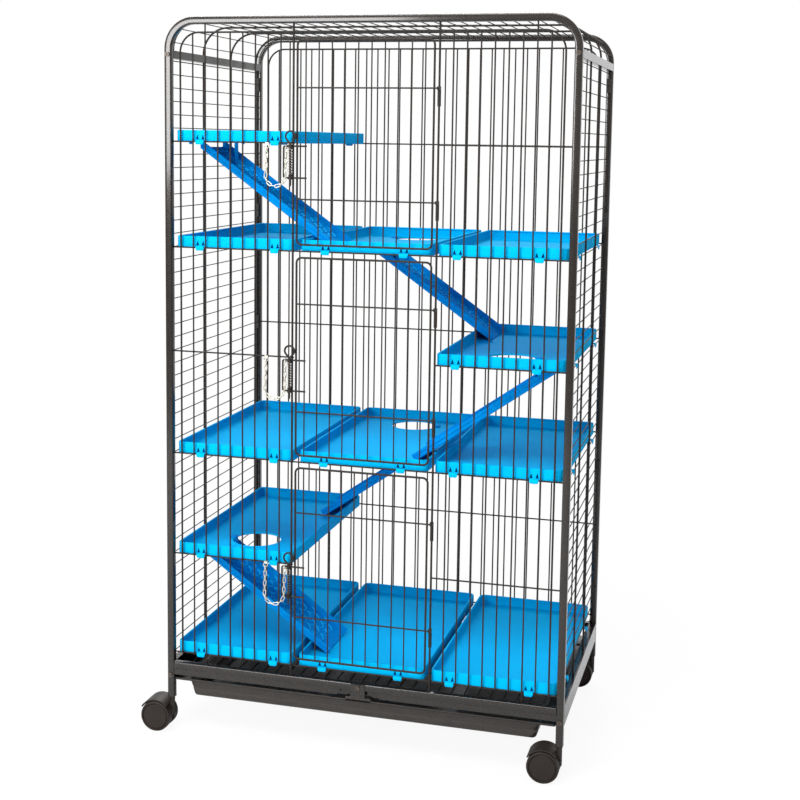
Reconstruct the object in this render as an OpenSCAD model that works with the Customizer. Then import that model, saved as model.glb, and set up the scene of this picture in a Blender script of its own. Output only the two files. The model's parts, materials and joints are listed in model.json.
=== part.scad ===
// Tall indoor small-animal cage on casters.
// Two tube hoops carry welded wire panels, three doors, plastic shelf pans with ramps,
// a slide-out wire floor and a slide-out waste tray.
// X runs across the front, Y runs back from the doors, Z is up from the floor.

/* [Frame] */
// Width over the posts
frame_w = 800; // [700:10:1000]
// Depth over the posts
frame_d = 490; // [420:10:600]
// Height from the post ends to the top of the hoops
frame_h = 1347; // [1345:1:1450]
// Side of the square tube
tube = 14; // [13:0.5:18]
// Wall of the square tube
tube_wall = 1.2; // [0.8:0.1:1.6]
// Outer radius of the hoop's bent corners
hoop_r = 60; // [50:1:70]
// Height of the bottom rail's top above the post ends
rail_top = 73.5; // [72:0.5:76]
// Height of the upper bolts above the post ends
upper_bolt_z = 1277; // [1270:1:1280]
// Height of the lower bolts above the post ends
lower_bolt_z = 46; // [44:0.5:50]
// Height of the cross bars between the hoops
cross_bar_h = 15; // [12:0.5:18]
// Diameter of the bolt shanks
bolt_d = 5; // [4:0.5:6]
// Diameter of the bolt heads
bolt_head_d = 9; // [8:0.5:11]
// Height of the bolt heads
bolt_head_h = 2.4; // [1.5:0.1:3]

/* [Wire] */
// Pitch of the upright bars and of the fine mesh wires
bar_pitch = 25.5; // [24:0.5:26]
// Diameter of the upright bars
bar_d = 3; // [2.4:0.1:3.4]
// Diameter of the bars that flank the doors
flank_d = 4; // [3.6:0.1:4.4]
// Diameter of the level wires
level_d = 3; // [2.8:0.1:3.4]
// Diameter of the fine mesh wires
mesh_d = 2; // [1.6:0.1:2.4]
// Diameter of the rods that edge and stiffen the mesh panels
rod_d = 4; // [3.4:0.2:5]
// Depth that welded wires sink into each other
weld = 0.3; // [0.2:0.05:0.5]
// Depth of the upright bars' middle behind the front of the posts
bar_depth = 8; // [7:0.5:9]
// Height of the lowest level wire above the post ends
level_base = 92; // [88:0.5:96]
// Mesh rows between one shelf level and the next
rows_per_level = 8; // [7:1:8]
// Height of the panels' top wire below the top of the hoops
loop_drop = 29; // [24:1:34]
// Bend radius of the panels' upper corners
loop_r = 38; // [20:1:44]
// Distance from the post to the middle of the side panels' edge rods
rod_gap = 3; // [2.2:0.1:4]
// Height of the plastic clips on the rear edge rods
clip_h = 30; // [24:1:36]
// Wall of the plastic clips
clip_wall = 2.5; // [2:0.1:3]
// Diameter of the panels' top wire
loop_d = 3.6; // [3.4:0.1:3.8]
// Depth of the top panel's outer rods behind the front of the posts
top_rod_depth = 27; // [20:1:40]

/* [Doors] */
// Width of a door over the middle of its frame wire
door_w = 263; // [255:1:266]
// Height of a door over the middle of its frame wire
door_h = 381.5; // [370:0.5:384]
// Height of the bottom door's lower wire above the post ends
door_base = 108.5; // [102:0.5:112]
// Height from one door to the next
door_pitch = 406.3; // [400:0.1:410]
// Depth of the door frame's middle behind the front of the posts
door_depth = 4.5; // [4.2:0.1:4.8]
// Diameter of the door frame wire
door_wire_d = 4; // [3.4:0.1:4.2]
// Diameter of the door bars
door_bar_d = 2.6; // [2.4:0.1:3]
// Corner radius of the door frame
door_r = 10; // [6:1:16]
// Height of a door's lower cross wire above the door's lower wire
door_low_wire = 85.5; // [70:0.5:100]
// Height of a door's upper cross wire above the door's lower wire
door_high_wire = 293.5; // [270:0.5:310]
// Outer diameter of the hinge sleeves
sleeve_d = 6.6; // [6.4:0.2:7]
// Length of the hinge sleeves
sleeve_len = 36; // [25:1:45]
// Running clearance of the hinge sleeves, on radius
sleeve_fit = 0.08; // [0.05:0.01:0.1]

/* [Latches] */
// Height of a latch bracket's top leg above its door's lower wire
latch_top = 185; // [175:0.5:190]
// Distance between the two legs of the bracket
latch_span = 59.5; // [52:0.5:66]
// Reach of the bracket past the flanking bar
latch_reach = 17; // [17:0.5:19]
// Diameter of the bracket wire
latch_wire_d = 3.4; // [3:0.1:3.6]
// Diameter of the latch rod
latch_rod_d = 3.8; // [3.4:0.1:4]
// Middle radius of the pull ring
ring_r = 10.5; // [8:0.5:12]
// Outer diameter of the guide eyes
eye_d = 8.6; // [8:0.2:9]
// Height of the guide eyes
eye_h = 6; // [5:0.5:8]
// Running clearance of the latch rod in its eyes, on radius
rod_fit = 0.1; // [0.05:0.01:0.1]
// Length of the latch rod below its lower eye
rod_tail = 10; // [6:1:16]
// Outer diameter of the latch spring
spring_d = 7.2; // [6.8:0.1:8]
// Wire diameter of the latch spring
spring_wire_d = 1.2; // [0.9:0.1:1.2]
// Turns of the latch spring
spring_turns = 11; // [8:1:12]

/* [Chains] */
// Wire diameter of a chain link
link_wire_d = 1.8; // [1.6:0.1:1.8]
// Inside length of a chain link
link_in_len = 9.5; // [9.3:0.1:9.7]
// Inside width of a chain link
link_in_w = 3.2; // [3.2:0.1:3.4]
// Links on each arm of the hanging chain
arm_links = 6; // [6:1:8]
// Links across the bottom of the hanging chain
sag_links = 6; // [4:2:8]

/* [Shelf pans] */
// Width of a side pan
side_pan_w = 242; // [220:1:244]
// Width of a middle pan
mid_pan_w = 256; // [240:1:260]
// Distance of the side pans from the outside of the posts
pan_inset = 17; // [16:0.5:20]
// Depth of the pans' front edge behind the front of the posts
pan_depth = 13; // [12.8:0.1:15]
// Height of a pan
pan_h = 23; // [20:0.5:25]
// Drop of a pan's underside below the middle of its wire
pan_drop = 1; // [0:0.5:1.5]
// Wall of a pan
pan_wall = 2.2; // [1.6:0.1:3]
// Thickness of a pan's floor
pan_floor = 2.4; // [1.8:0.1:3]
// Width of the rim bead around a pan
rim_w = 4.4; // [3:0.2:6]
// Height of the rim bead
rim_h = 2.6; // [2:0.2:4]
// Corner radius of a pan
pan_r = 12; // [8:1:20]
// Width of a clip tab
tab_w = 17; // [12:1:18]
// Thickness of a clip tab
tab_t = 1.3; // [1:0.1:1.4]
// Drop of a clip tab below the middle of its wire
tab_drop = 8; // [6:0.5:11]
// Distance of a side pan's side tabs from the middle of its depth
side_tab_y = 140; // [110:1:180]
// Diameter of the climbing hole
hole_d = 98; // [80:1:100]
// Distance of the half levels' climbing holes from the front of the posts
hole_front = 140; // [110:1:160]
// Distance of the full levels' climbing holes from the front of the posts
hole_back = 409; // [380:1:415]

/* [Ramps] */
// Width of a ramp
ramp_w = 116; // [90:1:120]
// Slope of a ramp in degrees
ramp_angle = 35; // [34:0.5:37]
// Height of a ramp's side rails
ramp_rail_h = 15; // [12:0.5:18]
// Thickness of a ramp's floor and rails
ramp_t = 2.6; // [2:0.1:3.5]
// Pitch of the scale-shaped tread ridges along a ramp
tread_pitch = 24; // [20:1:30]
// Outer radius of a tread ridge
tread_r = 17; // [12:1:18]
// Height of the tread ridges
tread_h = 1.6; // [1:0.1:2.5]
// Width of the hook that holds a ramp in its hole
hook_w = 24; // [16:1:30]
// Length of the hook over the pan
hook_len = 9; // [6:1:14]
// Length that the left pans' ramps reach past their hole
left_ramp_past = 50; // [44:1:54]
// Length that the right pan's ramp reaches past its hole
right_ramp_past = 46; // [40:1:54]
// Length that the third level's ramp reaches past its hole
third_ramp_past = 45; // [34:1:45]
// Length that the second level's ramp reaches past its hole
second_ramp_past = 34; // [28:1:54]

/* [Base] */
// Height of the side rails' lower edge above the post ends
side_rail_z = 36; // [34:0.5:37]
// Height of the side rails
side_rail_h = 38; // [36:0.5:40]
// Sheet thickness of the side rails
sheet_t = 1.5; // [1:0.1:2]
// Reach of the ledge that carries the tray, from the outside of the posts
ledge_w = 24; // [20:1:28]
// Height of the wire floor's ledge above the post ends
grate_z = 60; // [59:0.5:62]
// Diameter of the wire floor's cross rods
grate_rod_d = 5; // [4:0.5:6]
// Height of the lower rail's lower edge above the post ends
band_z = 47; // [46.5:0.5:50]
// Depth that the lower rail's front stands behind the front of the posts
band_depth = 2; // [1:0.5:4]
// Gap between the two raised halves of the lower rail
band_gap = 75; // [60:1:90]
// Depth of the tray below its rim
tray_depth = 28; // [22:1:30]
// Draft of the tray's ends
tray_draft = 22; // [12:1:26]
// Width of the tray's rim at its ends
tray_rim = 18; // [14:1:22]
// Thickness of the tray's sheet
tray_t = 1.2; // [0.8:0.1:1.5]
// Width of the tray's grip
grip_w = 51; // [40:1:60]
// Width of the centre plate
plate_w = 29; // [24:1:34]

/* [Casters] */
// Diameter of a caster wheel
wheel_d = 62; // [50:1:64]
// Width of one caster wheel
wheel_w = 17; // [14:0.5:20]
// Gap between the two wheels of a caster
wheel_gap = 12; // [10:0.5:14]
// Distance from the swivel axis back to the wheel axle
trail = 28; // [22:1:32]
// Height of the post ends above the floor
caster_h = 70; // [68:0.5:75]
// Diameter of the caster stem
stem_d = 8; // [7:0.5:9]
// Length of the caster stem inside the post
stem_len = 28; // [20:1:40]
// Running clearance of stems and axles, on radius
turn_fit = 0.06; // [0.04:0.01:0.1]
// Diameter of the wheel axle
axle_d = 6; // [5:0.5:7]

/* [Hidden] */
$fn = 48;

powder_black = "#2f2a27";
pan_blue = "#069fe4";
zinc = "#c9c6bd";
plastic_black = "#1b1a19";
sheet_grey = "#35312d";

// All casters trail to the left, so the cage stands off centre in the whole object's box.
cage_x = (trail + wheel_d / 2 - tube / 2) / 2;
half_w = frame_w / 2;
half_d = frame_d / 2;
post_x = half_w - tube / 2;
post_y = half_d - tube / 2;
top_z = caster_h + frame_h;
rail_z = caster_h + rail_top - tube;
tube_in = tube - 2 * tube_wall;
touch = 0.02;
gap = 0.3;

// Upright bars stand on one grid; bars 5 and up flank the doors.
function bar_x(k) = (k + 0.5) * bar_pitch;
first_bar = 5;
edge_clear = 20;
last_bar = floor((half_w - edge_clear) / bar_pitch - 0.5);
brace_bar = last_bar - 2;
flank_x = bar_x(first_bar);

// Planes of the wires, as distances from the middle of the cage.
bar_y = half_d - bar_depth;
flank_y = bar_y - bar_d / 2 + flank_d / 2;
welded_y = bar_y - bar_d / 2 - level_d / 2 + weld;
resting_y = welded_y - weld - touch;
loop_z = top_z - loop_drop;
loop_mid_x = bar_x(last_bar) - loop_r;
// Height at which a bar at x ends inside the top wire.
function loop_at(x) = loop_z - loop_r + sqrt(loop_r ^ 2 - max(0, x - loop_mid_x) ^ 2) - weld;

level_pitch = rows_per_level * bar_pitch;
function level(i) = caster_h + level_base + i * level_pitch;

door_y = half_d - door_depth;
door_half = door_w / 2;
function door_z(k) = caster_h + door_base + k * door_pitch;
door_cross_y = door_y + door_bar_d / 2 + bar_d / 2 - weld;

latch_y = door_y + door_bar_d / 2 + latch_wire_d / 2 - weld;
latch_left = -flank_x - latch_reach;
rod_side = 2.8;
rod_ahead = 2.3;
lock_x = -flank_x - rod_side;
lock_y = latch_y + rod_ahead;
collar_h = 3;
collar_up = eye_h / 2 + gap;
spring_up = collar_up + collar_h + touch;
spring_len = latch_span - eye_h / 2 - spring_up - touch;

side_rod_y = half_d - tube - rod_gap;
inner_rod_y = side_rod_y * 0.32;
mesh_rod_y = [-side_rod_y, -inner_rod_y, inner_rod_y, side_rod_y];
mesh_wire_x = post_x - rod_d / 2 - mesh_d / 2 + weld;
side_rail_top = caster_h + side_rail_z + side_rail_h;
cross_bar_low = caster_h + upper_bolt_z - cross_bar_h / 2;
mesh_rows = floor((cross_bar_low - level(0) - mesh_d) / bar_pitch);
clip_rows = [2, 13, 24, 34, 45];

pan_half_d = half_d - pan_depth;
pan_out = half_w - pan_inset;
pan_gap = 13;
pan_share = 2 * pan_out / (2 * side_pan_w + mid_pan_w + 2 * pan_gap);
side_w = side_pan_w * pan_share;
mid_w = mid_pan_w * pan_share;
pan_in = pan_out - side_w;
pan_mid_x = (pan_out + pan_in) / 2;
tab_in = 25;
tab_out = 38;
side_tabs = bar_pitch * [ceil((pan_in + tab_in) / bar_pitch), floor((pan_out - tab_out) / bar_pitch)];
mid_tabs = [-3 * bar_pitch, 3 * bar_pitch];
front_hole_y = hole_front - half_d;
back_hole_y = hole_back - half_d;
hole_rim_h = 1.4;
function pan_z(i) = level(i) - pan_drop;

axle_z = wheel_d / 2;

module at_cage() {
  translate([cage_x, 0, 0]) children();
}

// Round wire or rod along one axis.
module rod_x(x0, x1, y, z, d) {
  translate([x0, y, z]) rotate([0, 90, 0]) cylinder(d = d, h = x1 - x0);
}

module rod_y(y0, y1, x, z, d) {
  translate([x, y0, z]) rotate([-90, 0, 0]) cylinder(d = d, h = y1 - y0);
}

module rod_z(z0, z1, x, y, d) {
  translate([x, y, z0]) cylinder(d = d, h = z1 - z0);
}

module both_sides() {
  children();
  mirror([1, 0, 0]) children();
}

// Quarter bend of a wire of diameter d in the XZ plane, from the right side up to the top.
module wire_bend(r, d) {
  rotate([90, 0, 0]) rotate_extrude(angle = 90) translate([r, 0]) circle(d = d);
}

module round_rect(w, d, r) {
  square([w - 2 * r, d], center = true);
  square([w, d - 2 * r], center = true);
  for (x = [-1, 1], y = [-1, 1]) {
    translate([x * (w / 2 - r), y * (d / 2 - r)]) circle(r = r);
  }
}

// Frame

// The hoop's outline swept as a square section of side s: two legs, two bends and the top.
module hoop_sweep(s, leg_from) {
  mid_r = hoop_r - tube / 2;
  bend_z = top_z - hoop_r;
  for (side = [-1, 1]) {
    translate([side * post_x - s / 2, -s / 2, leg_from]) cube([s, s, bend_z - leg_from]);
    translate([side * (half_w - hoop_r), 0, bend_z])
      mirror([side < 0 ? 1 : 0, 0, 0])
        rotate([90, 0, 0]) rotate_extrude(angle = 90)
          translate([mid_r - s / 2, -s / 2]) square(s);
  }
  translate([hoop_r - half_w, -s / 2, top_z - tube / 2 - s / 2])
    cube([frame_w - 2 * hoop_r, s, s]);
}

module bolt_holes() {
  for (side = [-1, 1], z = [upper_bolt_z, lower_bolt_z]) {
    rod_y(-tube, tube, side * post_x, caster_h + z, bolt_d + 0.4);
  }
}

module hoop() {
  color(powder_black) difference() {
    union() {
      hoop_sweep(tube, caster_h);
      translate([tube - half_w, -tube / 2, rail_z]) cube([frame_w - 2 * tube, tube, tube]);
    }
    hoop_sweep(tube_in, caster_h - 1);
    translate([tube - half_w, -tube_in / 2, rail_z + tube_wall])
      cube([frame_w - 2 * tube, tube_in, tube_in]);
    bolt_holes();
  }
}

module front_frame() {
  at_cage() difference() {
    translate([0, -post_y, 0]) hoop();
    rod_y(-half_d - 1, -half_d + tube_wall + 1, 0, plate_bolt_z, bolt_d + 0.1);
  }
}

module rear_frame() {
  at_cage() translate([0, post_y, 0]) hoop();
}

bolt_thread_len = 16;
grate_ledge_w = 20;

// Square bar between the hoops with a threaded hole in each end.
module cross_bar(side) {
  z = caster_h + upper_bolt_z;
  color(powder_black) at_cage() difference() {
    translate([side * post_x - tube / 2, tube - half_d, z - cross_bar_h / 2])
      cube([tube, frame_d - 2 * tube, cross_bar_h]);
    for (end = [-1, 1]) {
      translate([side * post_x, end * (half_d - tube + 1), z]) rotate([end * 90, 0, 0])
        cylinder(d = bolt_d + 0.2, h = bolt_thread_len + 2);
    }
  }
}

module left_cross_bar() {
  cross_bar(-1);
}

module right_cross_bar() {
  cross_bar(1);
}

// Folded side rail: an outer web, a top flange under the mesh panel, a ledge for the tray,
// a ledge for the wire floor and a threaded block at each end.
module side_rail(side) {
  len = frame_d - 2 * tube;
  block = bolt_thread_len + 4;
  low = caster_h + side_rail_z;
  color(powder_black) at_cage() mirror([side < 0 ? 1 : 0, 0, 0]) difference() {
    union() {
      translate([half_w - sheet_t, -len / 2, low]) cube([sheet_t, len, side_rail_h]);
      translate([half_w - tube, -len / 2, side_rail_top - sheet_t]) cube([tube, len, sheet_t]);
      translate([half_w - ledge_w, -len / 2, low]) cube([ledge_w, len, sheet_t]);
      translate([half_w - grate_ledge_w, -len / 2, caster_h + grate_z - sheet_t])
        cube([grate_ledge_w, len, sheet_t]);
      for (y = [-len / 2, len / 2 - block]) {
        translate([half_w - tube + 0.5, y, low])
          cube([tube - 0.5, block, grate_z - side_rail_z - sheet_t / 2]);
      }
    }
    for (end = [-1, 1]) {
      translate([post_x, end * (len / 2 + 1), caster_h + lower_bolt_z])
        rotate([end * 90, 0, 0]) cylinder(d = bolt_d + 0.2, h = bolt_thread_len + 2);
    }
  }
}

module left_side_rail() {
  side_rail(-1);
}

module right_side_rail() {
  side_rail(1);
}

bolt_key = 3;
socket_floor = 1;

// Button-head bolt with a socket, its head on the outer face of a post.
module frame_bolt() {
  difference() {
    union() {
      rotate([90, 0, 0]) cylinder(d = bolt_head_d, h = bolt_head_h);
      rotate([-90, 0, 0]) cylinder(d = bolt_d, h = tube + bolt_thread_len);
    }
    translate([0, -socket_floor, 0]) rotate([90, 0, 0])
      cylinder(d = bolt_key, h = bolt_head_h, $fn = 6);
  }
}

module frame_bolts() {
  color(zinc) at_cage() for (x = [-1, 1], y = [0, 1], z = [upper_bolt_z, lower_bolt_z]) {
    mirror([0, y, 0]) translate([x * post_x, -half_d - 0.05, caster_h + z]) frame_bolt();
  }
}

// Plastic plug in the end of each post that holds the caster stem.
module caster_sockets() {
  flange = 1.2;
  plug = tube_in - 0.1;
  bore_h = stem_len + 6;
  color(plastic_black) at_cage() for (x = [-1, 1], y = [-1, 1]) {
    translate([x * post_x, y * post_y, caster_h]) difference() {
      union() {
        translate([-plug / 2, -plug / 2, -flange]) cube([plug, plug, stem_len + flange]);
        translate([-tube / 2, -tube / 2, -flange - touch]) cube([tube, tube, flange]);
      }
      translate([0, 0, -flange - 1]) cylinder(d = stem_d + 2 * turn_fit, h = bore_h);
    }
  }
}

// Fixed wire panels

// Bars on one side of the doors, with their half level wires and their part of the top wire.
module side_bars(side) {
  bar_low = level(0) - level_d / 2;
  color(powder_black) at_cage() mirror([side < 0 ? 1 : 0, 0, 0]) {
    rod_z(rail_z + tube, top_z - tube, flank_x, -flank_y, flank_d);
    rod_z(rail_z + tube, top_z - tube, bar_x(brace_bar), -bar_y, bar_d);
    for (k = [first_bar + 1:last_bar - 1]) {
      rod_z(bar_low, loop_at(bar_x(k)), bar_x(k), -bar_y, bar_d);
    }
    rod_z(bar_low, loop_z - loop_r, bar_x(last_bar), -flank_y, loop_d);
    translate([loop_mid_x, -flank_y, loop_z - loop_r]) wire_bend(loop_r, loop_d);
    rod_x(flank_x + weld, loop_mid_x, -flank_y, loop_z, loop_d);
    for (i = [1, 3, 5]) {
      rod_x(flank_x - flank_d / 2, half_w - tube, -welded_y, level(i), level_d);
    }
  }
}

module front_left_bars() {
  side_bars(-1);
}

module front_right_bars() {
  side_bars(1);
}

// Level wires that run right across the front, and the top wire over the doors.
module front_level_wires() {
  color(powder_black) at_cage() {
    for (i = [0, 2, 4]) {
      rod_x(tube - half_w, half_w - tube, -resting_y, level(i), level_d);
    }
    rod_x(flank_d / 2 - flank_x + touch, flank_x - flank_d / 2 - touch, -flank_y, loop_z,
          loop_d);
  }
}

// Rear panel: upright bars, a level wire for each shelf level and a rounded top wire.
module rear_panel() {
  color(powder_black) at_cage() {
    both_sides() {
      for (k = [0:last_bar - 1]) {
        brace = k == brace_bar;
        rod_z(brace ? rail_z + tube : level(0) - level_d / 2,
              brace ? top_z - tube : loop_at(bar_x(k)), bar_x(k), bar_y, bar_d);
      }
      rod_z(level(0) - level_d / 2, loop_z - loop_r, bar_x(last_bar), bar_y, loop_d);
      translate([loop_mid_x, bar_y, loop_z - loop_r]) wire_bend(loop_r, loop_d);
    }
    rod_x(-loop_mid_x, loop_mid_x, bar_y, loop_z, loop_d);
    for (i = [0:5]) {
      rod_x(tube - half_w, half_w - tube, welded_y, level(i), level_d);
    }
  }
}

// Side panel: four upright rods and closely spaced fine wires running front to back.
module side_mesh(side) {
  reach = side_rod_y + rod_d / 2;
  color(powder_black) at_cage() mirror([side < 0 ? 1 : 0, 0, 0]) {
    for (y = mesh_rod_y) rod_z(side_rail_top, cross_bar_low, post_x, y, rod_d);
    for (k = [0:mesh_rows]) {
      rod_y(-reach, reach, mesh_wire_x, level(0) + k * bar_pitch, mesh_d);
    }
  }
}

module left_mesh_panel() {
  side_mesh(-1);
}

module right_mesh_panel() {
  side_mesh(1);
}

// Top panel: four rods arched between the cross bars, with fine wires along the cage.
arch_r = hoop_r - tube / 2;
arch_top = top_z - tube / 2;

module arch_rod(y) {
  foot = caster_h + upper_bolt_z + cross_bar_h / 2;
  both_sides() {
    translate([post_x - arch_r, y, arch_top - arch_r]) wire_bend(arch_r, rod_d);
    rod_z(foot, arch_top - arch_r, post_x, y, rod_d);
  }
  rod_x(arch_r - post_x, post_x - arch_r, y, arch_top, rod_d);
}

module top_mesh_panel() {
  wire_r = arch_r + rod_d / 2 + mesh_d / 2 - weld;
  count = floor((post_x - arch_r) / bar_pitch);
  reach = half_d - tube;
  corner_wires = 3;
  color(powder_black) at_cage() {
    for (y = [top_rod_depth - half_d, mesh_rod_y[1], mesh_rod_y[2], half_d - top_rod_depth]) {
      arch_rod(y);
    }
    for (k = [-count:count]) {
      rod_y(-reach, reach, k * bar_pitch, arch_top + wire_r - arch_r, mesh_d);
    }
    for (side = [-1, 1], k = [0:corner_wires - 1]) {
      a = 90 * (k + 0.5) / corner_wires;
      rod_y(-reach, reach, side * (post_x - arch_r + wire_r * cos(a)),
            arch_top - arch_r + wire_r * sin(a), mesh_d);
    }
  }
}

// Plastic clips that hold the mesh panels' rear edge rods to the posts.
module mesh_clips() {
  clip_w = rod_d + 2 * clip_wall;
  reach = half_d - tube - side_rod_y - touch;
  color(plastic_black) at_cage() both_sides() for (k = clip_rows) {
    translate([post_x, side_rod_y, level(0) + k * bar_pitch]) difference() {
      translate([-clip_w / 2, -clip_w / 2, -clip_h / 2])
        cube([clip_w, clip_w / 2 + reach, clip_h]);
      translate([0, 0, -clip_h]) cylinder(d = rod_d + 2 * touch, h = 2 * clip_h);
      translate([mesh_wire_x - post_x, -clip_w, 0]) rotate([-90, 0, 0])
        cylinder(d = mesh_d + gap, h = clip_w + rod_d / 2 + gap);
    }
  }
}

// Doors

module door(k) {
  z0 = door_z(k);
  z1 = z0 + door_h;
  r = door_r;
  color(powder_black) at_cage() difference() {
    union() {
      both_sides() {
        rod_z(z0 + r, z1 - r, door_half, -door_y, door_wire_d);
        translate([door_half - r, -door_y, z1 - r]) wire_bend(r, door_wire_d);
        translate([door_half - r, -door_y, z0 + r]) rotate([0, 90, 0]) wire_bend(r, door_wire_d);
        for (i = [0:first_bar - 1]) rod_z(z0, z1, bar_x(i), -door_y, door_bar_d);
      }
      for (z = [z0, z1]) rod_x(r - door_half, door_half - r, -door_y, z, door_wire_d);
      for (h = [door_low_wire, door_high_wire]) {
        rod_x(-door_half, flank_x, -door_cross_y, z0 + h, bar_d);
        translate([flank_x - sleeve_d / 2, -door_cross_y, z0 + h - sleeve_d / 2])
          cube([sleeve_d, door_cross_y - flank_y, sleeve_d]);
        rod_z(z0 + h + sleeve_d / 2 - sleeve_len, z0 + h + sleeve_d / 2, flank_x, -flank_y, sleeve_d);
      }
      latch_bracket(z0 + latch_top);
    }
    for (h = [door_low_wire, door_high_wire]) {
      rod_z(z0 + h - sleeve_len, z0 + h + sleeve_d, flank_x, -flank_y, flank_d + 2 * sleeve_fit);
    }
    for (h = [0, latch_span]) {
      rod_z(z0 + latch_top - h - eye_h, z0 + latch_top - h + eye_h, lock_x, -lock_y,
            latch_rod_d + 2 * rod_fit);
    }
  }
}

// U-shaped wire on the door frame with two guide eyes for the latch rod.
module latch_bracket(z) {
  bend = latch_wire_d;
  for (h = [0, latch_span]) {
    rod_x(latch_left + bend, -bar_x(first_bar - 1) + 3, -latch_y, z - h, latch_wire_d);
    rod_z(z - h - eye_h / 2, z - h + eye_h / 2, lock_x, -lock_y, eye_d);
  }
  rod_z(z - latch_span + bend, z - bend, latch_left, -latch_y, latch_wire_d);
  translate([latch_left + bend, -latch_y, z - bend]) rotate([0, -90, 0])
    wire_bend(bend, latch_wire_d);
  translate([latch_left + bend, -latch_y, z - latch_span + bend]) rotate([0, 180, 0])
    wire_bend(bend, latch_wire_d);
}

module top_door() {
  door(2);
}

module middle_door() {
  door(1);
}

module bottom_door() {
  door(0);
}

// Latch rod with a pull ring, a spring collar and a pointed lower end.
module latch_rod(k) {
  top = door_z(k) + latch_top;
  low = top - latch_span;
  tail = low - eye_h / 2 - rod_tail;
  ring_z = top + eye_h / 2 + ring_r + 4;
  color(powder_black) at_cage() translate([lock_x, -lock_y, 0]) {
    rod_z(tail, ring_z - ring_r, 0, 0, latch_rod_d);
    translate([0, 0, tail - 3]) cylinder(d1 = 1.6, d2 = latch_rod_d, h = 3);
    rod_z(low + collar_up, low + collar_up + collar_h, 0, 0, spring_d + 0.4);
    translate([0, 0, ring_z]) rotate([90, 0, 0]) rotate_extrude() translate([ring_r, 0])
      circle(d = latch_rod_d);
  }
}

module top_latch_rod() {
  latch_rod(2);
}

module middle_latch_rod() {
  latch_rod(1);
}

module bottom_latch_rod() {
  latch_rod(0);
}

// Coil spring: a wire swept ring by ring along a helix whose two ends turn upright.
wire_sides = 6;
rings_per_turn = 8;
coil_r = (spring_d - spring_wire_d) / 2;
coil_run = 2 * PI * coil_r * spring_turns;
coil_rings = spring_turns * rings_per_turn;

// Path of the wire unrolled: run round the coil and height.
spring_start = [
  [0, 0],
  [0, spring_wire_d],
  for (a = [140, 100]) spring_wire_d * [1 + cos(a), 1 + sin(a)]
];
start_end = spring_start[len(spring_start) - 1];
spring_path = concat(
  spring_start,
  [
    for (i = [1:coil_rings - 1])
      start_end + i / coil_rings * ([coil_run, spring_len] - 2 * start_end)
  ],
  [for (i = [len(spring_start) - 1:-1:0]) [coil_run, spring_len] - spring_start[i]]
);
path_last = len(spring_path) - 1;

function coil_angle(p) = p[0] / coil_r * 180 / PI;
function coil_point(p) = [coil_r * cos(coil_angle(p)), coil_r * sin(coil_angle(p)), p[1]];
function coil_slope(i) =
  let (a = spring_path[max(i - 1, 0)],
       b = spring_path[min(i + 1, path_last)])
  (b - a) / norm(b - a);

module coil_spring() {
  points = [
    for (i = [0:path_last], j = [0:wire_sides - 1])
      let (turn = coil_angle(spring_path[i]),
           out = [cos(turn), sin(turn), 0],
           slope = coil_slope(i),
           side = [sin(turn) * slope[1], -cos(turn) * slope[1], slope[0]],
           a = 360 * j / wire_sides)
      coil_point(spring_path[i]) + spring_wire_d / 2 * (cos(a) * out + sin(a) * side)
  ];
  skin = [
    for (i = [0:path_last - 1], j = [0:wire_sides - 1])
      let (a = i * wire_sides + j,
           b = i * wire_sides + (j + 1) % wire_sides)
      each [[a, b + wire_sides, b], [a, a + wire_sides, b + wire_sides]]
  ];
  first = [for (j = [1:wire_sides - 2]) [0, j, j + 1]];
  base = path_last * wire_sides;
  last = [for (j = [1:wire_sides - 2]) [base, base + j + 1, base + j]];
  polyhedron(points, concat(skin, first, last));
}

spring_gap = min([
  for (i = [0:path_last], j = [i + 5:path_last])
    norm(coil_point(spring_path[i]) - coil_point(spring_path[j]))
]) - spring_wire_d;
echo(least_gap_between_spring_turns = spring_gap);

module latch_spring(k) {
  low = door_z(k) + latch_top - latch_span;
  color(zinc) at_cage() translate([lock_x, -lock_y, low + spring_up]) coil_spring();
}

module top_latch_spring() {
  latch_spring(2);
}

module middle_latch_spring() {
  latch_spring(1);
}

module bottom_latch_spring() {
  latch_spring(0);
}

// Chains

link_mid_w = link_in_w + link_wire_d;

// One chain link in the XZ plane, long along Z.
module chain_link() {
  straight = link_in_len + link_wire_d - link_mid_w;
  both_sides() rod_z(-straight / 2, straight / 2, link_mid_w / 2, 0, link_wire_d);
  for (side = [-1, 1]) {
    translate([0, 0, side * straight / 2]) rotate([side * 90, 0, 0])
      rotate_extrude(angle = 180) translate([link_mid_w / 2, 0]) circle(d = link_wire_d);
  }
}

// The chain hangs down one arm, round the bottom and up the other arm.
link_count = 2 * arm_links + sag_links;
function link_turn(i) = 180 * min(max(i - arm_links + 1, 0), sag_links + 1) / (sag_links + 1);
function link_dir(i) = [-sin(link_turn(i)), -cos(link_turn(i))];
function link_play(i) = i <= arm_links - 1 || i > arm_links + sag_links ? 0.06 : 0.4;
function link_pitch(i) = link_in_len - (link_play(i) + link_play(i + 1)) / 2;
function link_joint(i) = i == 0 ? [0, 0] : link_joint(i - 1) + link_pitch(i - 1) * link_dir(i - 1);

module wire_ring(mid_r) {
  rotate_extrude() translate([mid_r, 0]) circle(d = link_wire_d);
}

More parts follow.
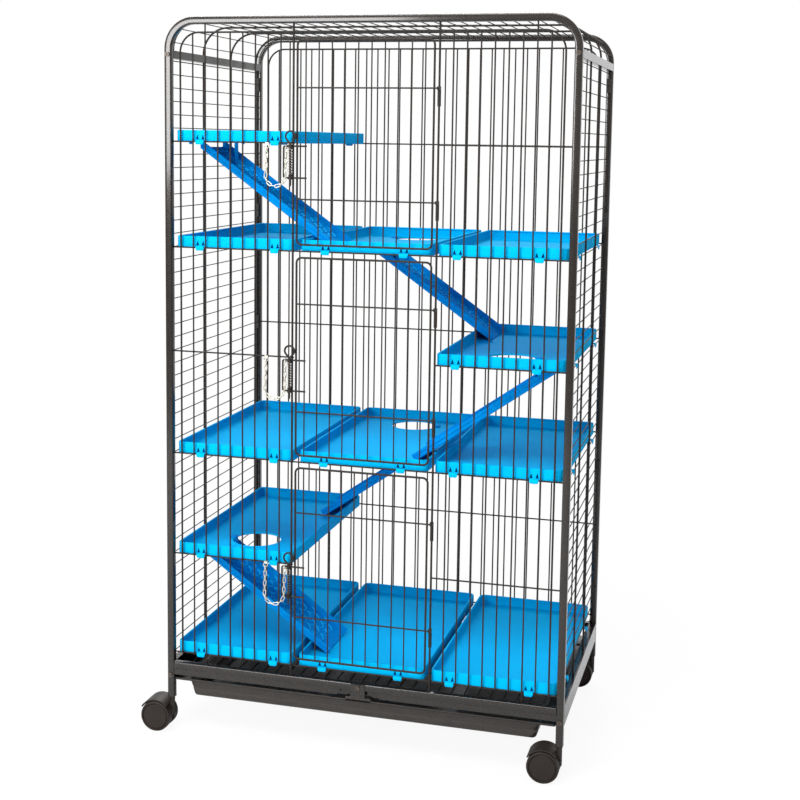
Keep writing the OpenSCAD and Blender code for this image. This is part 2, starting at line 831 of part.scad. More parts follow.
// Closed ring on the bracket's upper leg, the links, and a ring with a clip over a bar.
// The chain leans out past the bracket's lower leg.
module door_chain(k) {
  lean = atan((latch_wire_d / 2 + link_in_w / 2 + link_wire_d + 2 * gap) / latch_span);
  hang_r = latch_wire_d / 2 + link_wire_d / 2 + 1;
  clip_r = 4.2;
  jaw_h = 5;
  jaw_side = 1.3;
  clip_bar = bar_x(first_bar + 2);
  hang_x = latch_left + latch_wire_d / 2 + link_wire_d + link_in_w / 2 + 0.7;
  start_z = latch_wire_d / 2 + touch - 2 * hang_r + link_wire_d + link_play(0) / 2;
  end_z = start_z + link_joint(link_count)[1] - link_wire_d / 2 - link_play(0) / 2;
  clip_y = end_z * sin(lean);
  color(zinc) at_cage() translate([0, -latch_y, door_z(k) + latch_top]) {
    rotate([-lean, 0, 0]) {
      translate([hang_x, 0, latch_wire_d / 2 + link_wire_d / 2 + touch - hang_r])
        rotate([0, 90, 0]) wire_ring(hang_r);
      for (i = [0:link_count - 1]) {
        mid = link_joint(i) + (link_in_len - link_play(i)) / 2 * link_dir(i);
        translate([hang_x + mid[0], 0, start_z + mid[1]]) rotate([0, link_turn(i), 0])
          rotate([0, 0, i % 2 == 0 ? 0 : 90]) chain_link();
      }
    }
    translate([-clip_bar, 0, end_z * cos(lean) + clip_r]) difference() {
      union() {
        translate([0, clip_y, 0]) rotate([90, 0, 0]) wire_ring(clip_r);
        translate([-bar_d / 2 - gap - jaw_side, clip_y, clip_r - jaw_h / 2])
          cube([bar_d + 2 * (gap + jaw_side), latch_y - bar_y + 0.5 - clip_y, jaw_h]);
      }
      translate([-bar_d / 2 - gap, latch_y - bar_y - bar_d / 2 - gap, clip_r - jaw_h])
        cube([bar_d + 2 * gap, 2 * bar_d, 2 * jaw_h]);
    }
  }
}

module top_door_chain() {
  door_chain(2);
}

module middle_door_chain() {
  door_chain(1);
}

module bottom_door_chain() {
  door_chain(0);
}

// Shelf pans

// Clip tab over a wire whose middle is `out` from the pan's edge, at the origin, toward +Y.
module pan_tab(out, wire_r) {
  top = pan_drop + wire_r + touch;
  face = out + wire_r + 0.1;
  translate([-tab_w / 2, -pan_wall, top]) cube([tab_w, pan_wall + face + tab_t, tab_t]);
  translate([-tab_w / 2, face, pan_drop - tab_drop])
    cube([tab_w, tab_t, top + tab_t - pan_drop + tab_drop]);
}

// Small three-cornered windows through the wall beside a tab.
module tab_windows() {
  for (s = [-1, 1]) {
    translate([s * (tab_w / 2 - 1.5), 2, 0]) rotate([90, 0, 0]) linear_extrude(8)
      polygon([[-2.6, pan_drop + 5], [2.6, pan_drop + 5], [0, pan_drop + 13]]);
  }
}

// Places a tab on the pan's front, back or outer side.
module along_edges(tabs, outer, x_edge) {
  for (x = tabs, turn = [0, 180]) {
    rotate([0, 0, turn]) translate([turn == 0 ? x : -x, pan_half_d, 0]) children(0);
  }
  if (outer != 0) {
    for (y = [-side_tab_y, side_tab_y]) {
      translate([x_edge, y, 0]) rotate([0, 0, -90 * outer]) children(1);
    }
  }
}

module pan(mid, w, i, tabs, hole_y, outer) {
  inner_r = pan_r - rim_w;
  hole_rim_r = hole_d / 2 + 4;
  color(pan_blue) at_cage() translate([0, 0, pan_z(i)]) difference() {
    union() {
      translate([mid, 0, 0]) difference() {
        linear_extrude(pan_h) round_rect(w, 2 * pan_half_d, pan_r);
        translate([0, 0, pan_floor]) linear_extrude(pan_h)
          round_rect(w - 2 * rim_w, 2 * (pan_half_d - rim_w), inner_r);
        translate([0, 0, pan_floor]) linear_extrude(pan_h - pan_floor - rim_h)
          round_rect(w - 2 * pan_wall, 2 * (pan_half_d - pan_wall), pan_r - pan_wall);
      }
      if (hole_y != 0) {
        translate([mid, hole_y, 0]) cylinder(r = hole_rim_r, h = pan_floor + hole_rim_h);
      }
      along_edges(tabs, outer, mid + outer * w / 2) {
        pan_tab(welded_y - pan_half_d, level_d / 2);
        pan_tab(mesh_wire_x - pan_out, mesh_d / 2);
      }
    }
    if (hole_y != 0) {
      translate([mid, hole_y, -1]) cylinder(d = hole_d, h = pan_h);
    }
    along_edges(tabs, 0, 0) tab_windows();
  }
}

module left_pan(i, hole_y) {
  pan(-pan_mid_x, side_w, i, -side_tabs, hole_y, -1);
}

module right_pan(i, hole_y) {
  pan(pan_mid_x, side_w, i, side_tabs, hole_y, 1);
}

module middle_pan(i, hole_y) {
  pan(0, mid_w, i, mid_tabs, hole_y, 0);
}

module bottom_left_pan() {
  left_pan(0, 0);
}

module bottom_middle_pan() {
  middle_pan(0, 0);
}

module bottom_right_pan() {
  right_pan(0, 0);
}

module lower_half_pan() {
  left_pan(1, front_hole_y);
}

module second_left_pan() {
  left_pan(2, 0);
}

module second_middle_pan() {
  middle_pan(2, back_hole_y);
}

module second_right_pan() {
  right_pan(2, 0);
}

module middle_half_pan() {
  right_pan(3, front_hole_y);
}

module third_left_pan() {
  left_pan(4, 0);
}

module third_middle_pan() {
  middle_pan(4, back_hole_y);
}

module third_right_pan() {
  right_pan(4, 0);
}

module top_half_pan() {
  left_pan(5, front_hole_y);
}

// Ramps

rail_rise = ramp_rail_h * cos(ramp_angle);
ramp_drop = level_pitch - pan_floor - gap - touch - rail_rise;
ramp_len = ramp_drop / sin(ramp_angle);

// Half-ring tread ridge, open toward the ramp's upper end.
module tread(r) {
  linear_extrude(tread_h) difference() {
    circle(r = r);
    circle(r = r - 2.2);
    translate([-r - 1, -r - 1]) square([r + 1, 2 * r + 2]);
  }
}

// Channel of the ramp along X, its floor's underside at z = 0 and its upper end at x = 0.
module ramp_channel() {
  over = ramp_rail_h;
  full = ramp_len + over;
  inner = ramp_w - 2 * ramp_t;
  rows = floor((ramp_len - tread_r) / tread_pitch) - 1;
  step = inner / 3;
  translate([-over, -ramp_w / 2, 0]) cube([full, ramp_w, ramp_t]);
  for (s = [0, 1]) mirror([0, s, 0]) {
    translate([-over, inner / 2, 0]) cube([full, ramp_t, ramp_rail_h]);
  }
  for (row = [0:rows], s = row % 2 == 0 ? [-1, 0, 1] : [-0.5, 0.5]) {
    translate([(row + 0.2) * tread_pitch, s * step, ramp_t - weld]) tread(tread_r);
  }
}

// Ramp from the hole at hole_x in level i down to the pan below, toward dir along X.
module ramp(i, hole_x, hole_y, dir, past) {
  under = pan_z(i) - gap;
  top_x = -hole_d / 2 - past;
  edge_x = -sqrt(pow(hole_d / 2, 2) - pow(hook_w / 2, 2)) + 0.5;
  hook_low = under - rail_rise - (edge_x - top_x) * tan(ramp_angle);
  hook_top = pan_z(i) + pan_floor + hole_rim_h + touch;
  color(pan_blue) at_cage() translate([hole_x, hole_y, 0]) mirror([dir < 0 ? 1 : 0, 0, 0]) {
    intersection() {
      translate([top_x, 0, under - rail_rise]) rotate([0, ramp_angle, 0]) ramp_channel();
      translate([top_x, -ramp_w, under - 2 * level_pitch])
        cube([2 * ramp_len, 2 * ramp_w, 2 * level_pitch]);
    }
    translate([edge_x, -hook_w / 2, hook_low])
      cube([ramp_t, hook_w, hook_top + ramp_t - hook_low]);
    translate([edge_x - hook_len, -hook_w / 2, hook_top])
      cube([hook_len + ramp_t / 2, hook_w, ramp_t]);
  }
}

module top_ramp() {
  ramp(5, -pan_mid_x, front_hole_y, 1, left_ramp_past);
}

module third_ramp() {
  ramp(4, 0, back_hole_y, 1, third_ramp_past);
}

module middle_ramp() {
  ramp(3, pan_mid_x, front_hole_y, -1, right_ramp_past);
}

module second_ramp() {
  ramp(2, 0, back_hole_y, -1, second_ramp_past);
}

module lower_ramp() {
  ramp(1, -pan_mid_x, front_hole_y, 1, left_ramp_past);
}

// Base

// Lift-out wire floor on the side rails' upper ledges.
module wire_floor() {
  half = half_w - tube - 1;
  reach = half_d - tube - 2;
  count = floor((half - edge_clear) / bar_pitch);
  low = caster_h + grate_z + grate_rod_d / 2 + touch;
  high = low + grate_rod_d / 2 + bar_d / 2 - weld;
  color(powder_black) at_cage() {
    for (s = [-1, 1]) rod_x(-half, half, s * half_d / 2, low, grate_rod_d);
    for (k = [-count:count]) rod_y(-reach, reach, k * bar_pitch, high, bar_d);
  }
}

// Fixed lower rail: a back strip with two raised halves that leave a gap in the middle.
module front_lower_rail() {
  half = half_w - tube - touch;
  h = rail_top - tube - touch - band_z;
  back = 6;
  bevel = 6;
  color(powder_black) at_cage() translate([0, band_depth - half_d, caster_h + band_z]) {
    translate([-half, back - weld, 0]) cube([2 * half, sheet_t + weld, h]);
    both_sides() rotate([90, 0, 0]) translate([0, 0, -back]) linear_extrude(back)
      polygon([[band_gap / 2 + bevel, 0], [half, 0], [half, h], [band_gap / 2, h],
               [band_gap / 2, bevel]]);
  }
}

plate_z = band_z;
plate_t = 2;
plate_bolt_z = caster_h + rail_top - tube / 2;

// Plate over the gap in the lower rail, bolted to the upper rail.
module centre_plate() {
  color(powder_black) at_cage() difference() {
    translate([-plate_w / 2, -half_d - plate_t - touch, caster_h + plate_z])
      cube([plate_w, plate_t, rail_top - plate_z]);
    rod_y(-half_d - plate_t - 1, -half_d + 1, 0, plate_bolt_z, bolt_d + 0.2);
  }
}

module centre_bolt() {
  shank = plate_t + 3;
  color(zinc) at_cage() translate([0, -half_d - plate_t - 2 * touch, plate_bolt_z])
    rotate([90, 0, 0]) {
      difference() {
        cylinder(d = bolt_head_d, h = bolt_head_h);
        translate([0, 0, socket_floor]) cylinder(d = bolt_key, h = bolt_head_h, $fn = 6);
      }
      translate([0, 0, -shank]) cylinder(d = bolt_d, h = shank + 0.1);
    }
}

// Solid with drafted sides, half sizes hw and hd at the top and depth h below z = 0.
module drafted(hw, hd, h) {
  end_draft = tray_draft;
  face_draft = tray_draft / 3;
  intersection() {
    translate([0, 2 * hd, 0]) rotate([90, 0, 0]) linear_extrude(4 * hd)
      polygon([[-hw, 0], [hw, 0], [hw - end_draft, -h], [end_draft - hw, -h]]);
    translate([-2 * hw, 0, 0]) rotate([90, 0, 90]) linear_extrude(4 * hw)
      polygon([[-hd, 0], [hd, 0], [hd - face_draft, -h], [face_draft - hd, -h]]);
  }
}

// Sheet tray that hangs by its rim, with a grip in the middle of its front edge.
module waste_tray() {
  rim_half = half_w - tube - 1;
  rim_d = half_d - 1;
  face_rim = 6;
  hw = rim_half - tray_rim;
  hd = rim_d - face_rim;
  z = caster_h + side_rail_z + sheet_t + touch;
  lip = 4;
  grip_h = band_z - side_rail_z - sheet_t - 0.5;
  color(sheet_grey) at_cage() translate([0, 0, z]) {
    difference() {
      union() {
        translate([-rim_half, -rim_d, 0]) cube([2 * rim_half, 2 * rim_d, tray_t]);
        drafted(hw, hd, tray_depth);
      }
      translate([0, 0, tray_t]) drafted(hw - tray_t, hd - tray_t, tray_depth);
      translate([tray_t - hw, tray_t - hd, tray_t / 2])
        cube([2 * (hw - tray_t), 2 * (hd - tray_t), tray_t]);
    }
    translate([-rim_half, -rim_d, 0]) cube([2 * rim_half, tray_t, lip]);
    translate([-grip_w / 2, -rim_d, 0]) cube([grip_w, tray_t, grip_h]);
  }
}

// Casters

hood_r = wheel_d / 2 + 1.6;
hood_from = 20;
hood_to = 150;
cover_from = 45;
hood_t = 2.4;
collar_top = caster_h - 1.4;

module pie(r, from, to) {
  polygon(concat([[0, 0]], [for (a = [from:(to - from) / 6:to]) 2 * r * [cos(a), sin(a)]]));
}

// Hood with a pressed-in stem and axle; the swivel axis is at x = y = 0.
module caster_body() {
  width = 2 * wheel_w + wheel_gap;
  web = wheel_gap - 1;
  hub_r = wheel_d / 2 - 7;
  boss_top = collar_top - 4.2;
  stem_low = axle_z + 8;
  axle_half = width / 2 - 4;
  color(plastic_black) difference() {
    union() {
      translate([-trail, 0, axle_z]) rotate([90, 0, 0]) {
        translate([0, 0, -web / 2]) linear_extrude(web) {
          circle(r = hub_r);
          intersection() {
            circle(r = hood_r + hood_t);
            pie(hood_r, hood_from, hood_to);
          }
        }
        translate([0, 0, 1 - width / 2]) linear_extrude(width - 2) intersection() {
          difference() {
            circle(r = hood_r + hood_t);
            circle(r = hood_r);
          }
          pie(hood_r, cover_from, hood_to);
        }
      }
      rod_z(axle_z, boss_top, 0, 0, web);
    }
    rod_z(stem_low, caster_h, 0, 0, stem_d + 2 * touch);
    rod_y(-width, width, -trail, axle_z, axle_d + 2 * touch);
  }
  color(zinc) {
    rod_z(stem_low + touch, collar_top + stem_len, 0, 0, stem_d);
    rod_z(boss_top + touch, collar_top, 0, 0, web);
    rod_y(-axle_half, axle_half, -trail, axle_z, axle_d);
  }
}

// Two wheels on one axle; each outer face has a raised edge and a flat disc cover.
module wheel_pair() {
  color(plastic_black) translate([-trail, 0, axle_z]) for (s = [0, 1]) {
    mirror([0, s, 0]) translate([0, wheel_gap / 2, 0]) rotate([-90, 0, 0]) rotate_extrude()
      wheel_profile();
  }
}

module wheel_profile() {
  bore = axle_d / 2 + turn_fit;
  edge = 2;
  groove_w = 1.6;
  groove_h = 1.2;
  groove_r = wheel_d / 2 - 6.5;
  hub_wall = 3;
  hollow_w = wheel_d / 2 - 12;
  hollow_h = 4;
  difference() {
    union() {
      square([wheel_d / 2 - edge, wheel_w]);
      translate([0, edge]) square([wheel_d / 2, wheel_w - 2 * edge]);
      for (y = [edge, wheel_w - edge]) translate([wheel_d / 2 - edge, y]) circle(r = edge);
    }
    translate([-1, -1]) square([bore + 1, wheel_w - 2]);
    translate([-1, -3]) square([1, wheel_w + 6]);
    translate([groove_r, wheel_w - groove_h]) square([groove_w, 2 * groove_h]);
    translate([bore + hub_wall, -1]) square([hollow_w, hollow_h + 1]);
  }
}

module caster_at(x, y) {
  at_cage() translate([x * post_x, y * post_y, 0]) children();
}

module front_left_caster() {
  caster_at(-1, -1) caster_body();
}

module front_right_caster() {
  caster_at(1, -1) caster_body();
}

module rear_left_caster() {
  caster_at(-1, 1) caster_body();
}

module rear_right_caster() {
  caster_at(1, 1) caster_body();
}

module front_left_wheels() {
  caster_at(-1, -1) wheel_pair();
}

module front_right_wheels() {
  caster_at(1, -1) wheel_pair();
}

module rear_left_wheels() {
  caster_at(-1, 1) wheel_pair();
}

module rear_right_wheels() {
  caster_at(1, 1) wheel_pair();
}

front_frame();
rear_frame();
left_cross_bar();
right_cross_bar();
left_side_rail();
right_side_rail();
frame_bolts();
caster_sockets();
front_left_bars();
front_right_bars();
front_level_wires();
rear_panel();
left_mesh_panel();
right_mesh_panel();
top_mesh_panel();
mesh_clips();
top_door();
middle_door();
bottom_door();
top_latch_rod();
middle_latch_rod();
bottom_latch_rod();
top_latch_spring();
middle_latch_spring();
bottom_latch_spring();
top_door_chain();
middle_door_chain();
bottom_door_chain();
wire_floor();
front_lower_rail();
centre_plate();
centre_bolt();
waste_tray();
bottom_left_pan();
bottom_middle_pan();
bottom_right_pan();
lower_half_pan();
second_left_pan();
second_middle_pan();
second_right_pan();
middle_half_pan();
third_left_pan();
third_middle_pan();
third_right_pan();
top_half_pan();
top_ramp();
third_ramp();
middle_ramp();
second_ramp();
lower_ramp();
front_left_caster();
front_right_caster();
rear_left_caster();
rear_right_caster();
front_left_wheels();
front_right_wheels();
rear_left_wheels();
rear_right_wheels();
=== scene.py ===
import json
import math

import bmesh
import bpy
from mathutils import Matrix, Vector


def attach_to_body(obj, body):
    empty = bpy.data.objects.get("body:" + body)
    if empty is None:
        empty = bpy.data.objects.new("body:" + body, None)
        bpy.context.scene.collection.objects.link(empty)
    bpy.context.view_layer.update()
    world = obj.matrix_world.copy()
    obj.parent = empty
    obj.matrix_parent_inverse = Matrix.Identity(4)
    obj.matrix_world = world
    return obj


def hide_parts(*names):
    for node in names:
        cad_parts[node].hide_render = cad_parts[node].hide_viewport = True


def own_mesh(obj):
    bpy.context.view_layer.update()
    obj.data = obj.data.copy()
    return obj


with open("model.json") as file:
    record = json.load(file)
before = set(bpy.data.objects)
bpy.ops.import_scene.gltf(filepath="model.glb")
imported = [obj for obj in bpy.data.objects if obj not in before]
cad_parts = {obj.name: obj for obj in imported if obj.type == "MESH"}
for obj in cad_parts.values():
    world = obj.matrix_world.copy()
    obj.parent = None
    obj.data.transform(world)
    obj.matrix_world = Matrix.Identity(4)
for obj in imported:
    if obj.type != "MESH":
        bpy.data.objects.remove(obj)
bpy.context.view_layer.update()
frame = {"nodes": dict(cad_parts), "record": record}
cadNodes = frame["nodes"]
scene = bpy.context.scene

# all casters trail to the left, so the cage stands this far off the middle, in metres
cageX = 0.026


# one shader socket that can be used in sums
class Sock:
    def __init__(self, nodes, socket):
        self.nodes = nodes
        self.socket = socket

    def math(self, kind, other):
        return self.nodes.add("ShaderNodeMath", {"operation": kind}, {0: self, 1: other})

    def __add__(self, other):
        return self.math("ADD", other)

    def __radd__(self, other):
        return self.math("ADD", other)

    def __mul__(self, other):
        return self.math("MULTIPLY", other)

    def __rmul__(self, other):
        return self.math("MULTIPLY", other)


# the nodes of a material or of the world
class Nodes:
    def __init__(self, tree):
        self.tree = tree

    def add(self, kind, settings=None, sockets=None, out=0):
        node = self.tree.nodes.new(kind)
        for key, value in (settings or {}).items():
            setattr(node, key, value)
        for key, value in (sockets or {}).items():
            if isinstance(value, Sock):
                self.tree.links.new(value.socket, node.inputs[key])
            else:
                node.inputs[key].default_value = value
        return Sock(self, node.outputs[out])


# a material with its Principled shader
class Finish(Nodes):
    def __init__(self, name, **sockets):
        self.material = bpy.data.materials.new(name)
        self.material.use_nodes = True
        super().__init__(self.material.node_tree)
        self.shader = self.tree.nodes["Principled BSDF"]
        for key, value in sockets.items():
            self.shader.inputs[key].default_value = value

    def link(self, key, value):
        self.tree.links.new(value.socket, self.shader.inputs[key])

    def place(self):
        return self.add("ShaderNodeTexCoord", out="Object")

    def noise(self, scale, detail):
        return self.add("ShaderNodeTexNoise", {}, {
            "Vector": self.place(), "Scale": scale, "Detail": detail})

    def blend(self, amount, first, second):
        return self.add("ShaderNodeMix", {"data_type": "RGBA"},
                        {0: amount, 6: first, 7: second}, out=2)

    def bump(self, height, strength, distance):
        self.link("Normal", self.add("ShaderNodeBump", {}, {
            "Height": height, "Strength": strength, "Distance": distance}))


# screen colour, 0 to 255, as a linear colour
def rgb(red, green, blue):
    def lin(v):
        v /= 255
        return v / 12.92 if v <= 0.04045 else ((v + 0.055) / 1.055) ** 2.4
    return (lin(red), lin(green), lin(blue), 1.0)


# dark and light colour, dimples to the metre, their depth in metres, roughness of the clear coat
paints = {
    "framePaint": (rgb(10, 8, 6), rgb(36, 30, 25), 620, 0.0004, 0.12),
    "trayPaint": (rgb(14, 11, 9), rgb(44, 37, 31), 420, 0.0005, 0.36),
}


def hammeredPaint(name):
    dark, light, dimple, depth, coat = paints[name]
    finish = Finish(name, **{"Metallic": 0.1, "Coat Weight": 0.8, "Coat Roughness": coat,
                             "Specular IOR Level": 0.05})
    cells = finish.add("ShaderNodeTexVoronoi", {"feature": "SMOOTH_F1"}, {
        "Vector": finish.place(), "Scale": dimple, "Smoothness": 0.6})
    cloud = finish.noise(dimple * 0.09, 3)
    fleck = finish.noise(dimple * 1.7, 2)
    mask = cells * 0.55 + fleck * 0.5 + cloud * 0.35
    tone = finish.add("ShaderNodeMapRange", {}, {0: mask, 1: 0.35, 2: 1.0, 3: 0.0, 4: 1.0})
    finish.link("Base Color", finish.blend(tone, dark, light))
    finish.link("Roughness", 0.16 + cells * 0.14 + cloud * 0.08)
    finish.bump(cells + fleck * 0.25, 0.4, depth)
    return finish.material


wires = {"dark": rgb(18, 15, 13), "light": rgb(42, 36, 31)}


def wirePaint():
    finish = Finish("wirePaint", **{"Specular IOR Level": 0.2})
    cloud = finish.noise(60, 3)
    grain = finish.noise(900, 2)
    finish.link("Base Color", finish.blend(cloud * 0.7 + grain * 0.3, wires["dark"], wires["light"]))
    finish.link("Roughness", 0.38 + grain * 0.2)
    finish.bump(grain, 0.25, 0.0002)
    return finish.material


# deep and bright colour
blues = {
    "bluePlastic": (rgb(0, 148, 202), rgb(0, 168, 222)),
    # the pan plastic darkened, painted shade for the ramps' shaded channels
    "rampBlue": (rgb(0, 108, 180), rgb(0, 140, 212)),
    # the pan plastic lightened, a painted highlight on the tread ridges
    "treadPaintedHighlight": (rgb(10, 150, 214), rgb(30, 178, 236)),
    # near-black blue, painted shade for the backs of the tab pockets
    "windowPaintedShade": (rgb(0, 40, 78), rgb(0, 62, 108)),
}


def bluePlastic(name):
    deep, bright = blues[name]
    finish = Finish(name, **{"Specular IOR Level": 0.02})
    sweep = finish.noise(5, 2)
    cloud = finish.noise(26, 3)
    grain = finish.noise(1500, 2)
    finish.link("Base Color", finish.blend(sweep * 0.55 + cloud * 0.45, deep, bright))
    scuff = finish.add("ShaderNodeTexNoise", {}, {
        "Vector": finish.add("ShaderNodeMapping", {}, {
            "Vector": finish.place(), "Scale": (1.0, 0.12, 1.0)}),
        "Scale": 240.0, "Detail": 3.0})
    finish.link("Roughness", 0.6 + cloud * 0.1 + scuff * 0.12)
    finish.bump(grain * 0.6 + scuff * 0.4, 0.16, 0.0002)
    return finish.material


# dark and light colour, and how metallic it looks
metals = {
    "boltSteel": (rgb(48, 41, 36), rgb(92, 82, 72), 0.6),
    "zincSteel": (rgb(156, 152, 138), rgb(214, 211, 199), 0.8),
    "springSteel": (rgb(70, 64, 56), rgb(128, 120, 106), 0.7),
}


def platedSteel(name):
    dark, light, shine = metals[name]
    finish = Finish(name, **{"Metallic": shine})
    cloud = finish.noise(180, 3)
    grain = finish.noise(1400, 2)
    finish.link("Base Color", finish.blend(cloud, dark, light))
    finish.link("Roughness", 0.28 + cloud * 0.14 + grain * 0.1)
    finish.bump(grain, 0.15, 0.0002)
    return finish.material


# dark and light colour, and roughness
mouldings = {
    "blackPlastic": (rgb(24, 21, 19), rgb(42, 37, 33), 0.42),
    "wheelPlastic": (rgb(20, 15, 12), rgb(36, 28, 23), 0.4),
}


def mouldedPlastic(name):
    dark, light, rough = mouldings[name]
    finish = Finish(name, **{"Specular IOR Level": 0.22})
    cloud = finish.noise(40, 3)
    grain = finish.noise(1300, 2)
    finish.link("Base Color", finish.blend(cloud, dark, light))
    finish.link("Roughness", rough + cloud * 0.12)
    finish.bump(grain, 0.3, 0.0002)
    return finish.material


# the first eight are the material slots of the record
finishes = {
    "frame_paint": hammeredPaint("framePaint"),
    "wire_paint": wirePaint(),
    "tray_paint": hammeredPaint("trayPaint"),
    "bolt_steel": platedSteel("boltSteel"),
    "zinc_steel": platedSteel("zincSteel"),
    "blue_plastic": bluePlastic("bluePlastic"),
    "black_plastic": mouldedPlastic("blackPlastic"),
    "wheel_plastic": mouldedPlastic("wheelPlastic"),
    # darker copy of the blue plastic, painted shade on the ramps
    "rampBlue": bluePlastic("rampBlue"),
    # lighter copy of the blue plastic, painted highlight on the treads
    "treadPaintedHighlight": bluePlastic("treadPaintedHighlight"),
    # near-black copy of the blue plastic, painted shade in the tab pockets
    "windowPaintedShade": bluePlastic("windowPaintedShade"),
    "springSteel": platedSteel("springSteel"),
}
slotOf = {s["node"]: s["material_slot"] for s in frame["record"]["subparts"]}
print("finishes made:", len(finishes))


def setFinish(obj, slot):
    obj.data.materials.clear()
    obj.data.materials.append(finishes[slot])


def smooth(obj, angle=35):
    obj.data.polygons.foreach_set("use_smooth", [True] * len(obj.data.polygons))
    obj.data.set_sharp_from_angle(angle=math.radians(angle))


# the CAD nodes keep their shape and get their finish
for nodeName, obj in cadNodes.items():
    setFinish(obj, slotOf[nodeName])
    smooth(obj)
print("CAD nodes finished:", len(cadNodes))


# a piece from a mesh in millimetres, measured from the middle of the cage
def piece(name, bm, slot, body, replaced=(), angle=35):
    bmesh.ops.recalc_face_normals(bm, faces=bm.faces)
    mesh = bpy.data.meshes.new(name)
    bm.to_mesh(mesh)
    bm.free()
    mesh.transform(Matrix.Translation((cageX, 0, 0)) @ Matrix.Scale(0.001, 4))
    obj = bpy.data.objects.new(name, mesh)
    scene.collection.objects.link(obj)
    setFinish(obj, slot)
    smooth(obj, angle)
    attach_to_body(obj, body)
    if replaced:
        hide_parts(*replaced)
    return obj


def attach(obj, parent):
    obj.parent = parent
    obj.matrix_parent_inverse = Matrix.Identity(4)


def camel(node):
    first, *rest = node.split("_")
    return first + "".join(word.title() for word in rest)


# skin over rings of points, closed at both ends when it has caps
def loft(bm, rings, caps=True):
    rows = [[bm.verts.new(p) for p in ring] for ring in rings]
    count = len(rows[0])
    for a, b in zip(rows, rows[1:]):
        for i in range(count):
            j = (i + 1) % count
            bm.faces.new((a[i], a[j], b[j], b[i]))
    if caps:
        bm.faces.new(list(reversed(rows[0])))
        bm.faces.new(rows[-1])
    return rows


# rings of a section carried along a path, its first axis toward side
def carry(path, section, side):
    points = [Vector(p) for p in path]
    last = len(points) - 1
    normal = Vector(side)
    rings = []
    for i, p in enumerate(points):
        before = points[i - 1] if i else p
        after = points[i + 1] if i < last else p
        ahead = (after - before).normalized()
        normal = (normal - ahead * normal.dot(ahead)).normalized()
        other = ahead.cross(normal)
        rings.append([p + normal * u + other * v for u, v in section])
    return rings


def arc(cx, cy, r, start, stop, steps):
    return [(cx + r * math.cos(math.radians(start + (stop - start) * s / steps)),
             cy + r * math.sin(math.radians(start + (stop - start) * s / steps)))
            for s in range(steps + 1)]


def disc(r, steps=12):
    return arc(0, 0, r, 0, 360 - 360 / steps, steps - 1)


def roundRect(w, d, r, steps=4):
    corners = ((w - r, d - r, 0), (r - w, d - r, 90), (r - w, r - d, 180), (w - r, r - d, 270))
    return [p for cx, cy, start in corners for p in arc(cx, cy, r, start, start + 90, steps)]


def flat(points, z):
    return [(x, y, z) for x, y in points]


def lathe(bm, profile, steps=48, turn=Matrix()):
    rings = [[turn @ Vector((x, y, h)) for x, y in disc(r, steps)] for r, h in profile]
    loft(bm, rings)


# box between two corners with softened edges
def block(bm, low, high, soft):
    part = bmesh.new()
    bmesh.ops.create_cube(part, size=1)
    size = [b - a for a, b in zip(low, high)]
    for v in part.verts:
        v.co = [a + s * (c + 0.5) for a, s, c in zip(low, size, v.co)]
    soft = min(soft, min(size) * 0.45)
    bmesh.ops.bevel(part, geom=part.edges[:], offset=soft, segments=2, profile=0.5, affect="EDGES")
    mesh = bpy.data.meshes.new("part")
    part.to_mesh(mesh)
    part.free()
    bm.from_mesh(mesh)
    bpy.data.meshes.remove(mesh)


def cutAway(obj, cutter):
    change = obj.modifiers.new("windows", "BOOLEAN")
    change.object = cutter
    change.solver = "EXACT"
    change.material_mode = "TRANSFER"
    bpy.context.view_layer.update()
    mesh = bpy.data.meshes.new_from_object(obj.evaluated_get(bpy.context.evaluated_depsgraph_get()))
    obj.modifiers.clear()
    old = obj.data
    obj.data = mesh
    bpy.data.meshes.remove(old)
    bpy.data.objects.remove(cutter)


# middle of the lowest level's wire, height of a half level, and how far a pan stands below its wire
levels = {"first": 162, "pitch": 204, "panDrop": 1}


def panFoot(tier):
    return levels["first"] + levels["pitch"] * tier - levels["panDrop"]


# hoops: square tube with rounded edges

hoop = {"post": 393, "depth": 238, "tube": 14, "edge": 2.2, "foot": 70, "top": 1410, "bend": 53,
        "rail": 136.5, "sink": 0.1, "weldEdge": 2}
# how far a weld fillet stands out, and its distance from the post
weldProfile = ((1.1, -0.2), (0.55, 0.5), (0.2, 1.3), (0.02, 2.4))


def makeHoop(name, y, node):
    bm = bmesh.new()
    p, r = hoop["post"], hoop["bend"]
    bendZ = hoop["top"] - r
    path = [(-p, y, hoop["foot"]), (-p, y, hoop["foot"] + 1)]
    path += [(x, y, z) for x, z in arc(r - p, bendZ, r, 180, 90, 16)]
    path += [(x, y, z) for x, z in arc(p - r, bendZ, r, 90, 0, 16)]
    path += [(p, y, hoop["foot"] + 1), (p, y, hoop["foot"])]
    half = hoop["tube"] / 2
    section = roundRect(half, half, hoop["edge"], 3)
    loft(bm, carry(path, section, (0, 1, 0)))
    inside = p - half + hoop["sink"]
    loft(bm, carry([(-inside, y, hoop["rail"]), (inside, y, hoop["rail"])], section, (0, 1, 0)))
    # weld fillets where the rail meets the posts
    for side in (-1, 1):
        ring = roundRect(half, half, hoop["weldEdge"], 3)
        rings = []
        for grow, shift in weldProfile:
            swell = 1 + grow / half
            rings.append([(side * (inside - shift), y + u * swell, hoop["rail"] + v * swell)
                          for u, v in ring])
        loft(bm, rings)
    piece(name, bm, "frame_paint", "cage", (node,))


makeHoop("frontHoop", -hoop["depth"], "front_frame")
makeHoop("rearHoop", hoop["depth"], "rear_frame")
print("hoops made")


